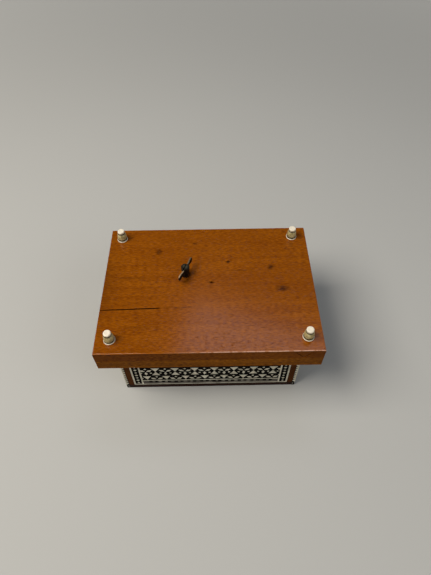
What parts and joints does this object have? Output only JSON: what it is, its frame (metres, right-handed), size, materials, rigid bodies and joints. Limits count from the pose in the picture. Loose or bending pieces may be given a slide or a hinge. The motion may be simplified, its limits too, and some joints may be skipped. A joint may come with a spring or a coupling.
{
  "type": "wind-up music box",
  "caption": "Inlaid wooden jewellery music box lying on its hinged lid, with a winding key and turned feet on the plinth above and a comb and cylinder movement inside.",
  "frame": {"origin": "centre of the lid's outer face, on the surface that the box lies on: the box is stored upside down, as it lies with its key uppermost", "axes": "+X to the right along the front, -Y is the front, +Z from the lid up to the plinth, feet and winding key; turn the part 180 degrees about X to stand it on its feet"},
  "size_m": [0.1796, 0.1316, 0.097],
  "materials": {
    "varnished_wood": "satin varnish",
    "case_wood": "satin varnish",
    "dark_wood": "satin varnish",
    "dark_ground": "polished",
    "bone": "polished bone",
    "turned_bone": "polished bone",
    "velvet": "cut pile",
    "plywood": "raw",
    "brass": "brushed",
    "dark_steel": "tarnished",
    "plated_steel": "plated",
    "spring_steel": "tempered",
    "cast_zinc": "cast",
    "nylon": "moulded"
  },
  "bodies": {
    "lid": {"lid_board": "case_wood", "lid_edging": "dark_wood", "lid_marquetry": "dark_ground", "lid_inlay": "bone", "lid_side_marquetry": "dark_ground", "lid_side_inlay": "bone", "lid_lining": "velvet", "hinge_lid_leaves": "brass", "hinge_pins": "brass", "hinge_lid_screws": "brass"},
    "winding_key": {"key_hub": "dark_steel", "key_wings": "dark_steel", "winding_arbor": "plated_steel", "clutch_spring": "spring_steel"},
    "crown_wheel": {"great_wheel": "brass"},
    "cylinder_train": {"cylinder": "brass", "cylinder_arbor": "plated_steel", "cylinder_pinion": "brass", "cylinder_gear": "brass"},
    "governor_train": {"governor_arbor": "plated_steel", "governor_wheel": "brass"},
    "fly_shaft": {"governor_worm": "plated_steel", "governor_fly": "nylon"},
    "stop": {"stop_rod": "plated_steel", "stop_spring": "spring_steel"},
    "case": {"front_board": "case_wood", "back_board": "case_wood", "left_board": "case_wood", "right_board": "case_wood", "front_marquetry": "dark_ground", "back_marquetry": "dark_ground", "left_marquetry": "dark_ground", "right_marquetry": "dark_ground", "front_inlay": "bone", "back_inlay": "bone", "left_inlay": "bone", "right_inlay": "bone", "wall_lining": "velvet", "floor_panel": "plywood", "floor_lining": "velvet", "floor_battens": "plywood", "front_rail": "varnished_wood", "back_rail": "varnished_wood", "left_rail": "varnished_wood", "right_rail": "varnished_wood", "base_board": "varnished_wood", "foot_front_left": "turned_bone", "foot_front_right": "turned_bone", "foot_back_left": "turned_bone", "foot_back_right": "turned_bone", "hinge_case_leaves": "brass", "hinge_case_screws": "brass", "bedplate": "cast_zinc", "spring_barrel": "plated_steel", "mainspring": "spring_steel", "comb": "spring_steel", "comb_screws": "brass", "governor_bracket": "plated_steel", "governor_screws": "brass", "movement_screws": "plated_steel", "stop_bush": "brass"}
  },
  "joints": [
    {"name": "lid_hinge", "type": "hinge", "parent": "lid", "child": "case", "pos_m": [0, 0.0552, 0.006], "axis": [-1, 0, 0], "range_deg": [0, 85]},
    {"name": "key_wind", "type": "hinge", "parent": "case", "child": "winding_key", "pos_m": [-0.0197, 0.0115, 0.09], "axis": [0, 0, -1], "range_deg": [0, 1260]},
    {"name": "cylinder_turn", "type": "hinge", "parent": "case", "child": "cylinder_train", "pos_m": [0.0053, 0.0115, 0.0595], "axis": [1, 0, 0], "continuous": true},
    {"name": "crown_turn", "type": "hinge", "parent": "case", "child": "crown_wheel", "pos_m": [-0.0197, 0.0115, 0.0645], "axis": [0, 0, -1], "continuous": true},
    {"name": "governor_turn", "type": "hinge", "parent": "case", "child": "governor_train", "pos_m": [0.0173, 0.0037, 0.0595], "axis": [1, 0, 0], "continuous": true},
    {"name": "fly_spin", "type": "hinge", "parent": "case", "child": "fly_shaft", "pos_m": [0.0197, -0.0011, 0.0595], "axis": [0, 0, -1], "continuous": true},
    {"name": "stop_slide", "type": "slide", "parent": "case", "child": "stop", "axis": [0, 0, -1], "range_m": [0, 0.003], "deforming": ["stop_spring"]}
  ],
  "couplings": [
    {"joint": "crown_turn", "follows": "cylinder_turn", "ratio": 0.3125},
    {"joint": "governor_turn", "follows": "cylinder_turn", "ratio": -5.5},
    {"joint": "fly_spin", "follows": "cylinder_turn", "ratio": 132},
    {"joint": "stop_slide", "follows": "lid_hinge", "m_per_rad": 0.002022}
  ]
}
